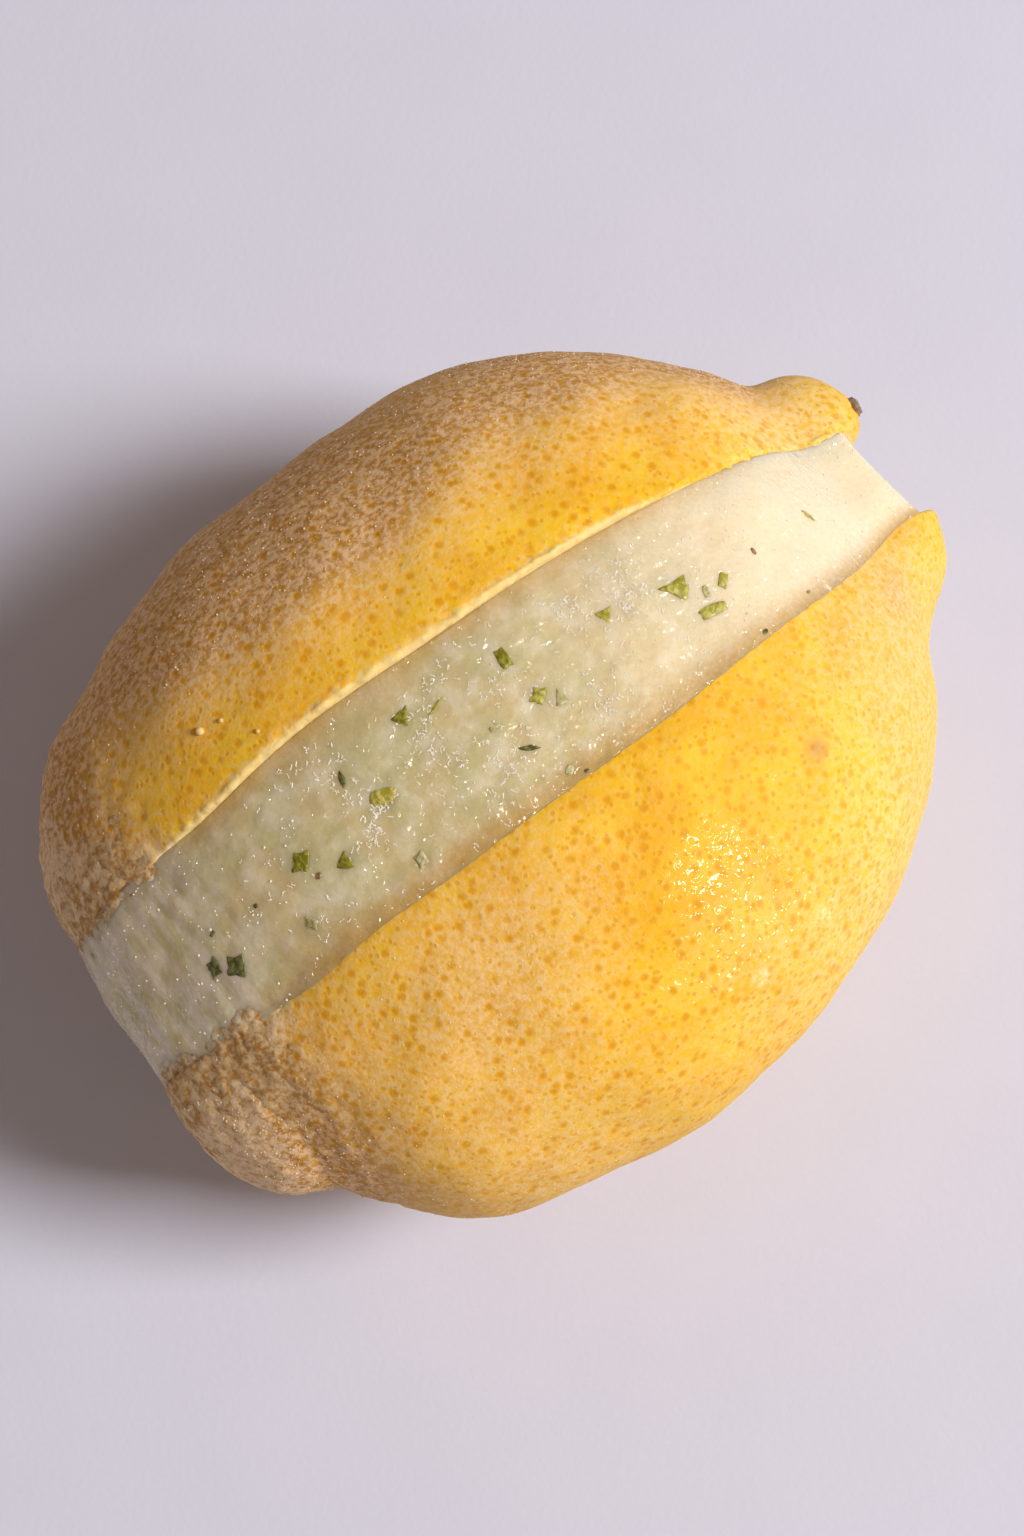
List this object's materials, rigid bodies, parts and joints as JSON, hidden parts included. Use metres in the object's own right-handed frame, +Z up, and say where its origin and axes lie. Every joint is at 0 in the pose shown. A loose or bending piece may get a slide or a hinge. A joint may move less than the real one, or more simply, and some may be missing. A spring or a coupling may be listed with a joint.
{
  "type": "sorbet cup",
  "caption": "Frozen lemon cut lengthwise into hollow halves, filled with pale green sorbet that stands as a flecked band between them; lies on its side.",
  "frame": {"origin": "on the table, under the middle of the box round the whole lemon", "axes": "+X along the lemon from its blunt stem end to its pointed tip, +Y to the left of that, +Z up from the table"},
  "size_m": [0.0948, 0.0762, 0.0557],
  "materials": {
    "peel": "pitted lemon skin under a thin frost",
    "sorbet": "icy pale green sorbet with leaf flecks"
  },
  "bodies": {
    "root": {"peel_left": "peel", "peel_right": "peel", "sorbet": "sorbet"}
  },
  "joints": []
}
